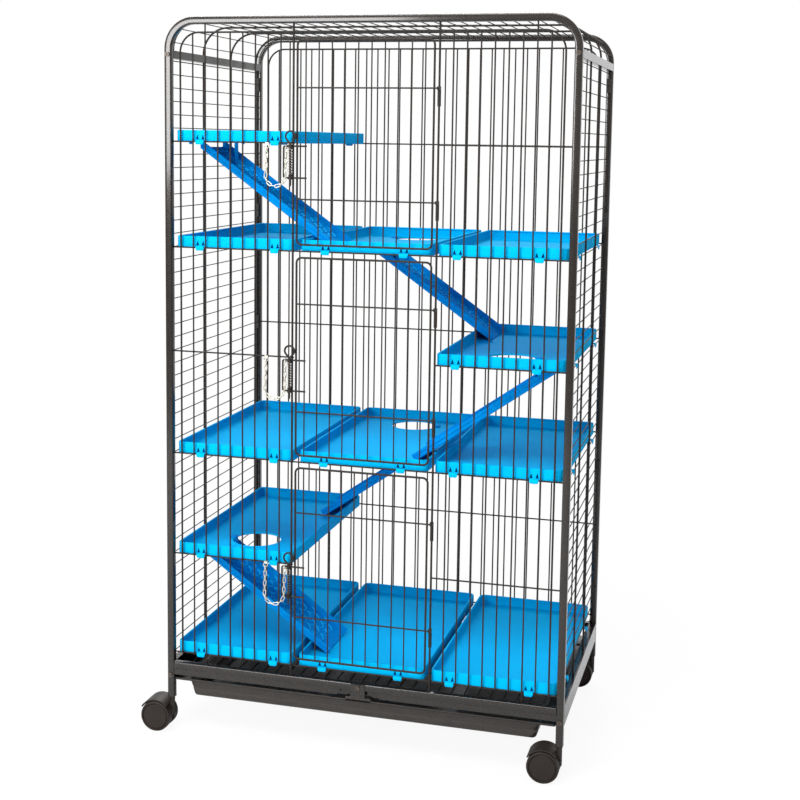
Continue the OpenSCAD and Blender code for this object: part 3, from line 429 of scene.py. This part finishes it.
# shelf pans with rolled rims, clip tabs and windows; side and middle hold a pan's middle and half width
panShape = {
    "halfDepth": 232, "corner": 12, "holeRadius": 49,
    "side": (262, 121), "middle": (0, 128), "frontHole": -105, "backHole": 164,
    "sideTabs": (178.5, 331.5), "middleTabs": (-76.5, 76.5), "edgeTabs": (-140, 140),
    "tabWidth": 17, "tabHalf": 0.65, "tabReach": 3.9, "edgeTabReach": 8.4,
    "windowOut": 5.7, "windowHalf": 3.1, "windowLow": 5, "windowTop": 14.2, "windowDeep": 1.7,
    "windowTip": (0.9, 2.2),
}
# inset from the outside and height, from the skirt over the rim to the floor
panProfile = ((1.0, 0.0), (0.3, 0.3), (0.0, 1.0), (0.0, 20.6), (0.35, 22.0), (1.2, 22.8), (2.2, 23.0),
              (3.2, 22.8), (4.1, 22.0), (4.4, 21.0), (4.1, 20.4), (2.5, 19.8), (2.2, 19.0), (2.2, 5.6),
              (2.6, 4.0), (3.6, 2.9), (5.4, 2.4))
holeProfile = ((5.6, 2.4), (4.4, 2.7), (3.4, 3.4), (2.0, 3.8), (0.9, 3.8), (0.2, 3.3), (0.0, 2.5),
               (0.0, 0.6), (0.5, 0.0))
panPlan = {
    "bottom_left_pan": (-1, 0, None), "bottom_middle_pan": (0, 0, None),
    "bottom_right_pan": (1, 0, None), "lower_half_pan": (-1, 1, "frontHole"),
    "second_left_pan": (-1, 2, None), "second_middle_pan": (0, 2, "backHole"),
    "second_right_pan": (1, 2, None), "middle_half_pan": (1, 3, "frontHole"),
    "third_left_pan": (-1, 4, None), "third_middle_pan": (0, 4, "backHole"),
    "third_right_pan": (1, 4, None), "top_half_pan": (-1, 5, "frontHole"),
}


def loopEdges(row):
    return [a.link_edges[[e.other_vert(a) for e in a.link_edges].index(b)]
            for a, b in zip(row, row[1:] + row[:1])]


# strip over the wire and down in front of it, narrower at its end
def clipTab(bm, reach, turn):
    t = panShape["tabHalf"]
    path = [(-0.9, 3.2), (reach - 1.4, 3.2), (reach - 0.5, 3.0), (reach + 0.2, 2.4), (reach + t, 1.2),
            (reach + t, -1.6), (reach + t, -3.2), (reach + 0.4, -4.4)]
    halves = (1, 1, 1, 1, 1, 0.98, 0.9, 0.76)
    section = roundRect(panShape["tabWidth"] / 2, t, 0.5, 2)
    rings = carry([(0, y, z) for y, z in path], section, (1, 0, 0))
    rings = [[turn @ Vector((p[0] * h, p[1], p[2])) for p in ring] for ring, h in zip(rings, halves)]
    loft(bm, rings)


# prisms for the pockets beside the tabs; their faces bring a near-black blue, painted shade, into the
# pockets
def windowCutter(spots):
    bm = bmesh.new()
    half, depth = panShape["windowHalf"], panShape["halfDepth"]
    low, top = panShape["windowLow"], panShape["windowTop"]
    tipHalf, tipHeight = panShape["windowTip"]
    outside, inside = depth + 2, depth - panShape["windowDeep"]
    for x in spots:
        for y in (-1, 1):
            for s in (-1, 1):
                mid = x + s * panShape["windowOut"]
                shape = ((mid - half, low), (mid + half, low), (mid + tipHalf, top - tipHeight),
                         (mid, top), (mid - tipHalf, top - tipHeight))
                loft(bm, [[(u, y * d, v) for u, v in shape] for d in (outside, inside)])
    bmesh.ops.recalc_face_normals(bm, faces=bm.faces)
    return bm


def makePan(node):
    side, tier, holeKey = panPlan[node]
    mid, half = panShape["side"] if side else panShape["middle"]
    mid *= side
    depth = panShape["halfDepth"]
    bm = bmesh.new()
    rings = [flat(roundRect(half - inset, depth - inset, max(panShape["corner"] - inset, 3), 6), z)
             for inset, z in panProfile]
    rows = loft(bm, rings, caps=False)
    if holeKey:
        holeY = panShape[holeKey]
        holeRings = [flat([(x, y + holeY) for x, y in disc(panShape["holeRadius"] + inset, 64)], z)
                     for inset, z in holeProfile]
        holeRows = loft(bm, holeRings, caps=False)
        for outer, inner in ((rows[-1], holeRows[0]), (rows[0], holeRows[-1])):
            bmesh.ops.triangle_fill(bm, use_beauty=True, edges=loopEdges(outer) + loopEdges(inner))
    else:
        bm.faces.new(rows[-1])
        bm.faces.new(list(reversed(rows[0])))
    spots = [side * x - mid for x in panShape["sideTabs"]] if side else panShape["middleTabs"]
    base = Matrix.Translation((mid, 0, panFoot(tier)))
    bmesh.ops.recalc_face_normals(bm, faces=bm.faces)
    cutterMesh = bpy.data.meshes.new("cutter")
    cutterBm = windowCutter(spots)
    bmesh.ops.transform(cutterBm, matrix=base, verts=cutterBm.verts)
    cutterBm.to_mesh(cutterMesh)
    cutterBm.free()
    cutterMesh.transform(Matrix.Translation((cageX, 0, 0)) @ Matrix.Scale(0.001, 4))
    # the pocket faces take this dark blue as painted shade, so the pockets read as holes into shadow
    cutterMesh.materials.append(finishes["windowPaintedShade"])
    cutter = bpy.data.objects.new("cutter", cutterMesh)
    scene.collection.objects.link(cutter)
    bmesh.ops.transform(bm, matrix=base, verts=bm.verts)
    pan = piece(camel(node), bm, "blue_plastic", "cage", (node,))
    cutAway(pan, cutter)
    smooth(pan, 30)
    tabBm = bmesh.new()
    for x in spots:
        for turn in (0, math.pi):
            flip = Matrix.Rotation(turn, 4, "Z") @ Matrix.Translation((0, depth, 0))
            clipTab(tabBm, panShape["tabReach"], base @ Matrix.Translation((x, 0, 0)) @ flip)
    if side:
        turn = Matrix.Rotation(-side * math.pi / 2, 4, "Z")
        for y in panShape["edgeTabs"]:
            clipTab(tabBm, panShape["edgeTabReach"],
                    base @ Matrix.Translation((side * half, y, 0)) @ turn)
    attach(piece(camel(node) + "Tabs", tabBm, "blue_plastic", "cage"), pan)


for panNode in panPlan:
    makePan(panNode)
print("pans made:", len(panPlan))


# ramps with raised side plates and scale-shaped treads

rampShape = {"width": 116, "angle": 35, "rail": 15, "sheet": 2.6, "length": 329.5, "pitch": 17,
             "tread": 14, "ridge": 2.2, "ridgeHeight": 2.2, "hookWidth": 16, "hookReach": 9,
             "hookRise": 3.82, "hookSoft": 0.8, "hookPlay": 0.5, "gap": 0.3, "treadStart": 0.2,
             "grooveLow": 5.6, "grooveHigh": 9.4, "grooveDeep": 0.9}
# level, middle of the hole, direction down the slope, distance from the hole to the upper end
rampPlan = {
    "top_ramp": (5, -262, -105, 1, 50), "third_ramp": (4, 0, 164, 1, 45),
    "middle_ramp": (3, 262, -105, -1, 46), "second_ramp": (2, 0, 164, -1, 34),
    "lower_ramp": (1, -262, -105, 1, 50),
}


def channelSection():
    h, t, rail = rampShape["width"] / 2, rampShape["sheet"], rampShape["rail"]
    half = [(0, 0), (h - 2.5, 0)] + arc(h - 2.5, 2.5, 2.5, 270, 360, 4)
    low, high, deep = rampShape["grooveLow"], rampShape["grooveHigh"], rampShape["grooveDeep"]
    half += [(h, low), (h - deep, low + 0.7), (h - deep, high - 0.7), (h, high)]
    half += [(h, rail - 1.2), (h - 0.4, rail - 0.3), (h - t / 2, rail), (h - t + 0.3, rail - 0.4),
             (h - t, rail - 1.4), (h - t, t + 2.4), (h - t - 0.7, t + 0.8), (h - t - 2.2, t), (0, t)]
    left = [(-u, v) for u, v in reversed(half[1:-1])]
    return half + left


def treadRidge(bm, x, y):
    r = rampShape["tread"] - rampShape["ridge"] / 2
    w, h, base = rampShape["ridge"] / 2, rampShape["ridgeHeight"], rampShape["sheet"] - 0.1
    section = ((-w, 0), (-w, h * 0.55), (-w * 0.5, h * 0.95), (w * 0.5, h), (w, h * 0.5), (w, 0))
    rings = []
    for a in range(-90, 91, 15):
        c, s = math.cos(math.radians(a)), math.sin(math.radians(a))
        rings.append([(x + (r + u) * c, y + (r + u) * s, base + v) for u, v in section])
    loft(bm, rings)


def makeRamp(node):
    tier, holeX, holeY, way, past = rampPlan[node]
    s = rampShape
    angle = math.radians(s["angle"])
    under = panFoot(tier) - s["gap"]
    rise = s["rail"] * math.cos(angle)
    topX = -panShape["holeRadius"] - past
    bm, treadBm = bmesh.new(), bmesh.new()
    section = channelSection()
    loft(bm, [[(x, u, v) for u, v in section] for x in (-s["rail"], s["length"])])
    inner = s["width"] - 2 * s["sheet"]
    for row in range(int((s["length"] - s["tread"]) / s["pitch"])):
        for k in ((-1.5, -0.5, 0.5, 1.5) if row % 2 == 0 else (-1, 0, 1)):
            treadRidge(treadBm, (row + s["treadStart"]) * s["pitch"], k * inner / 4)
    slope = Matrix.Translation((topX, 0, under - rise)) @ Matrix.Rotation(angle, 4, "Y")
    for part in (bm, treadBm):
        bmesh.ops.transform(part, matrix=slope, verts=part.verts)
        # plumb at the upper end and level under the pan
        for spot, outward in (((topX, 0, 0), (-1, 0, 0)), ((0, 0, under), (0, 0, 1))):
            cut = bmesh.ops.bisect_plane(part, geom=part.verts[:] + part.edges[:] + part.faces[:],
                                         plane_co=spot, plane_no=outward, clear_outer=True)
            edges = [e for e in cut["geom_cut"] if isinstance(e, bmesh.types.BMEdge)]
            bmesh.ops.contextual_create(part, geom=edges)
    edgeX = s["hookPlay"] - math.sqrt(panShape["holeRadius"] ** 2 - (s["hookWidth"] / 2) ** 2)
    low = under - rise - (edgeX - topX) * math.tan(angle)
    high = panFoot(tier) + s["hookRise"]
    half = s["hookWidth"] / 2
    top = high + s["sheet"]
    block(bm, (edgeX, -half, low), (edgeX + s["sheet"], half, top), s["hookSoft"])
    block(bm, (edgeX - s["hookReach"], -half, high), (edgeX + s["sheet"] / 2, half, top), s["hookSoft"])
    place = Matrix.Translation((holeX, holeY, 0)) @ Matrix.Diagonal((way, 1, 1, 1))
    for part in (bm, treadBm):
        bmesh.ops.transform(part, matrix=place, verts=part.verts)
    ramp = piece(camel(node), bm, "blue_plastic", "cage", (node,), angle=30)
    # the ramps get a darker copy of the pan plastic, painted shade
    setFinish(ramp, "rampBlue")
    treads = piece(camel(node) + "Treads", treadBm, "blue_plastic", "cage", angle=50)
    # the treads get a lighter copy of the same plastic, a painted highlight
    setFinish(treads, "treadPaintedHighlight")
    attach(treads, ramp)


for rampNode in rampPlan:
    makeRamp(rampNode)
print("ramps made:", len(rampPlan))


# latch rods with drop-shaped pull loops, and their springs

latch = {"x": -143.05, "y": -245.5, "rod": 3.8, "loop": 9.6, "loopMiddle": 203.2, "loopFoot": 189.5,
         "tail": 109.5, "collar": (128.8, 131.8), "collarWidth": 7.6}
coil = {"bottom": 131.82, "top": 181.98, "width": 7.2, "wire": 1.2, "turns": 11, "flatTurns": 0.9,
        "flatPitch": 1.05, "steps": 24, "keep": 0.761}
# height of each door's lower edge
doorBase = {"bottom": 178.5, "middle": 584.8, "top": 991.1}


def makeLatch(key, base):
    bm = bmesh.new()
    x, y, r = latch["x"], latch["y"], latch["rod"] / 2
    place = Matrix.Translation((x, y, base))
    foot, tail = latch["loopFoot"], latch["tail"]
    low, high = latch["collar"]
    wide = latch["collarWidth"] / 2
    lathe(bm, ((0.5, tail), (0.9, tail + 0.5), (r - 0.1, tail + 3), (r, tail + 4), (r, low),
               (wide - 0.4, low), (wide, low + 0.4), (wide, high - 0.4), (wide - 0.4, high), (r, high),
               (r, foot + 0.5), (r - 0.5, foot + 1.6)), 16, place)
    mid, loop = latch["loopMiddle"], latch["loop"]
    dip = math.degrees(math.asin(loop / (mid - foot)))
    bow = arc(0, mid, loop, -dip, 180 + dip, 28)
    path = [(0.25, foot)] + bow + [(-0.25, foot)]
    loft(bm, carry([place @ Vector((u, 0, v)) for u, v in path], disc(r, 12), (0, 1, 0)))
    piece(key + "LatchRod", bm, "wire_paint", key + "_latch", (key + "_latch_rod",), angle=40)


# coil whose end turns lie close; the real one shortens with the latch, this one keeps one length
def makeSpring(key, base):
    c = coil
    r, wire = (c["width"] - c["wire"]) / 2, c["wire"] / 2
    low, high = c["bottom"] + wire, c["top"] - wire
    turns, flatTurns = c["turns"], c["flatTurns"]
    closed = c["wire"] * c["flatPitch"]
    path = []
    for n in range(turns * c["steps"] + 1):
        turn = n / c["steps"]
        share = min(max((turn - flatTurns) / (turns - 2 * flatTurns), 0), 1)
        z = low + closed * min(turn, flatTurns) + closed * max(turn - turns + flatTurns, 0)
        z += share * (high - low - 2 * closed * flatTurns)
        a = 2 * math.pi * turn
        path.append((latch["x"] + r * math.cos(a), latch["y"] + r * math.sin(a), base + z))
    bm = bmesh.new()
    loft(bm, carry(path, disc(wire, 8), (0, 0, 1)))
    spring = piece(key + "Spring", bm, "zinc_steel", key + "_door", (key + "_latch_spring",), angle=60)
    setFinish(spring, "springSteel")
    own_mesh(spring)


for doorKey, doorLow in doorBase.items():
    makeLatch(doorKey, doorLow)
    makeSpring(doorKey, doorLow)
print("latches and springs made")


# caster wheels
wheels = {"gap": 12, "trail": 28, "axle": 31, "post": (393, 238)}
# radius and distance from the inner face, in millimetres
wheelProfile = ((3.2, 0.2), (7.6, 0.2), (8.2, 0.8), (8.4, 2.6), (23.4, 2.6), (24.2, 0.7), (25.0, 0.1),
                (28.9, 0.1), (30.2, 0.6), (30.9, 1.9), (31.0, 5.4), (30.6, 5.8), (30.6, 11.2),
                (31.0, 11.6), (30.9, 14.6), (30.3, 15.9), (29.2, 16.5), (26.9, 16.7), (26.4, 15.8),
                (25.9, 15.0), (25.3, 15.0), (24.9, 15.8), (24.2, 16.5), (17.0, 16.8), (8.0, 16.95),
                (0.8, 17.0))


def makeWheels(corner):
    sx = -1 if "left" in corner else 1
    sy = -1 if "front" in corner else 1
    bm = bmesh.new()
    middle = Vector((sx * wheels["post"][0] - wheels["trail"], sy * wheels["post"][1], wheels["axle"]))
    for side in (-1, 1):
        turn = Matrix.Translation(middle + Vector((0, side * wheels["gap"] / 2, 0)))
        turn = turn @ Matrix.Rotation(-side * math.pi / 2, 4, "X")
        lathe(bm, wheelProfile, 72, turn)
    piece(camel(corner) + "WheelPair", bm, "wheel_plastic", corner + "_wheel", (corner + "_wheels",),
          angle=30)


for cornerName in ("front_left", "front_right", "rear_left", "rear_right"):
    makeWheels(cornerName)
print("wheels made")


# waste tray pressed from sheet, with a crease along its walls

tray = {"rim": (385, 244), "top": 107.22, "sheet": 1.2, "wall": (356, 238), "depth": 32,
        "draft": (9, 3), "corner": 9, "rimCorner": 4, "lip": 4, "lipSoft": 0.45, "lipInset": 3,
        "gripWidth": 51, "gripTop": 116.4, "crease": 0.9}


def makeTray():
    t = tray["sheet"]
    bm = bmesh.new()
    base = tray["top"]

    # ring round the wall, from its top at 0 to its foot at 1
    def wallRing(share, out, drop=0.0):
        w = tray["wall"][0] - tray["draft"][0] * share + out
        d = tray["wall"][1] - tray["draft"][1] * share + out
        corner = max(tray["corner"] + out, 3)
        return flat(roundRect(w, d, corner, 5), base - tray["depth"] * share + drop)

    rimX, rimY = tray["rim"]
    rim = [flat(roundRect(rimX + e, rimY + e, tray["rimCorner"], 5), base + z)
           for e, z in ((0, t), (0, 0.1), (-0.3, 0))]
    crease = tray["crease"]
    outside = [wallRing(0.0, 1.4), wallRing(0.05, 0.3), wallRing(0.12, 0), wallRing(0.4, 0),
               wallRing(0.46, -crease), wallRing(0.5, -crease), wallRing(0.56, 0), wallRing(0.88, 0),
               wallRing(0.95, -0.6), wallRing(0.985, -1.6), wallRing(1.0, -3.0)]
    inside = [wallRing(1.0, -4.0, t), wallRing(0.94, -2.0, t), wallRing(0.86, -t), wallRing(0.56, -t),
              wallRing(0.5, -crease - t), wallRing(0.46, -crease - t), wallRing(0.4, -t),
              wallRing(0.1, -t), wallRing(0.0, -0.4, t)]
    loft(bm, rim[-1:] + outside, caps=False)
    loft(bm, inside + rim[:1], caps=False)
    loft(bm, rim, caps=False)
    for ring in (outside[-1][::-1], inside[0]):
        bm.faces.new([bm.verts.new(p) for p in ring])
    bmesh.ops.remove_doubles(bm, verts=bm.verts, dist=0.001)
    # folded lip along the front, and the grip on it
    lipX, gripX = rimX - tray["lipInset"], tray["gripWidth"] / 2
    for x, low, high in ((lipX, base + 0.1, base + tray["lip"]), (gripX, base + 1, tray["gripTop"])):
        block(bm, (-x, -rimY, low), (x, t - rimY, high), tray["lipSoft"])
    piece("wasteTray", bm, "tray_paint", "tray", ("waste_tray",), angle=30)


makeTray()
print("tray made")


# lamp that faces its target
def light(name, where, target, size, power):
    lamp = bpy.data.lights.new(name, "AREA")
    lamp.shape = "RECTANGLE"
    lamp.size, lamp.size_y = size
    lamp.energy = power
    obj = bpy.data.objects.new(name, lamp)
    scene.collection.objects.link(obj)
    obj.location = where
    obj.rotation_euler = (Vector(target) - Vector(where)).to_track_quat("-Z", "Y").to_euler()


studio = {
    "floorSize": 40.0,
    "floorShade": 0.78,
    "floorGlow": 0.92,
    "glowNear": 1.0,
    "glowFar": 2.6,
    "skyFill": 0.72,
}
# place, target, size and power
lights = {
    "key": ((-1.5, -3.3, 1.5), (-0.6, 0, 1.1), (1.5, 0.95), 78),
    "fill": ((3.4, -2.4, 1.8), (0, 0, 0.7), (2.2, 2.2), 6),
    "top": ((-0.3, -2.1, 3.3), (0, 0, 0.5), (2.0, 1.2), 118),
    "back": ((-0.8, 2.9, 2.6), (0, 0, 0.5), (2.0, 1.4), 60),
}


def makeStage():
    bpy.ops.mesh.primitive_plane_add(size=studio["floorSize"], location=(0, 0, 0))
    floor = bpy.context.object
    floor.name = "floor"
    shade = studio["floorShade"]
    pale = Finish("paleFloor", **{"Base Color": (shade, shade, shade, 1), "Roughness": 0.7})
    # seen by the camera it glows nearly white, so that no horizon shows
    glow = pale.add("ShaderNodeEmission", {}, {"Color": (1, 1, 1, 1), "Strength": 1.0})
    away = pale.add("ShaderNodeVectorMath", {"operation": "LENGTH"}, {0: pale.place()}, out=1)
    spread = pale.add("ShaderNodeMapRange", {"interpolation_type": "SMOOTHSTEP"}, {
        0: away, 1: studio["glowNear"], 2: studio["glowFar"], 3: studio["floorGlow"], 4: 1.0})
    seen = pale.add("ShaderNodeLightPath", out="Is Camera Ray") * spread
    mix = pale.add("ShaderNodeMixShader", {}, {0: seen, 1: Sock(pale, pale.shader.outputs[0]), 2: glow})
    pale.tree.links.new(mix.socket, pale.tree.nodes["Material Output"].inputs[0])
    floor.data.materials.append(pale.material)


# white where the camera or a mirror sees it, dimmer as light on the cage
def makeWorld():
    world = bpy.data.worlds.new("studio")
    scene.world = world
    world.use_nodes = True
    sky = Nodes(world.node_tree)
    back = sky.tree.nodes["Background"]
    back.inputs["Color"].default_value = (1, 1, 1, 1)
    seen = sky.add("ShaderNodeLightPath", out="Is Camera Ray")
    for ray in ("Is Glossy Ray", "Is Transmission Ray"):
        seen = seen.math("MAXIMUM", sky.add("ShaderNodeLightPath", out=ray))
    strength = sky.add("ShaderNodeMapRange", {}, {0: seen, 3: studio["skyFill"], 4: 1.0})
    sky.tree.links.new(strength.socket, back.inputs["Strength"])


makeStage()
makeWorld()
for lightName, setting in lights.items():
    light(lightName, *setting)

# angles in degrees, place in metres, the rest in pixels of the photo, the sensor in millimetres
camera = {
    "sensor": 36,
    "focalPixels": 1364.37,
    "azimuth": 15.17,
    "elevation": 6.59,
    "roll": 0.81,
    "place": (0.75837, -2.67418, 1.18736),
    "axisRow": 299.22,
    "frame": 800,
}


def makeCamera():
    az, el, roll = (math.radians(camera[k]) for k in ("azimuth", "elevation", "roll"))
    ahead = Vector((-math.sin(az) * math.cos(el), math.cos(az) * math.cos(el), -math.sin(el)))
    right = Vector((math.cos(az), math.sin(az), 0))
    up = right.cross(ahead)
    across = right * math.cos(roll) + up * math.sin(roll)
    above = up * math.cos(roll) - right * math.sin(roll)
    data = bpy.data.cameras.new("camera")
    data.sensor_width = camera["sensor"]
    data.lens = camera["sensor"] * camera["focalPixels"] / camera["frame"]
    data.shift_y = -(camera["frame"] / 2 - camera["axisRow"]) / camera["frame"]
    data.clip_start, data.clip_end = 0.1, 60
    obj = bpy.data.objects.new("camera", data)
    scene.collection.objects.link(obj)
    turn = Matrix((across, above, -ahead)).transposed().to_4x4()
    obj.matrix_world = Matrix.Translation(Vector(camera["place"])) @ turn
    scene.camera = obj


makeCamera()
scene.view_settings.view_transform = "Standard"
print("stage, light and camera set")
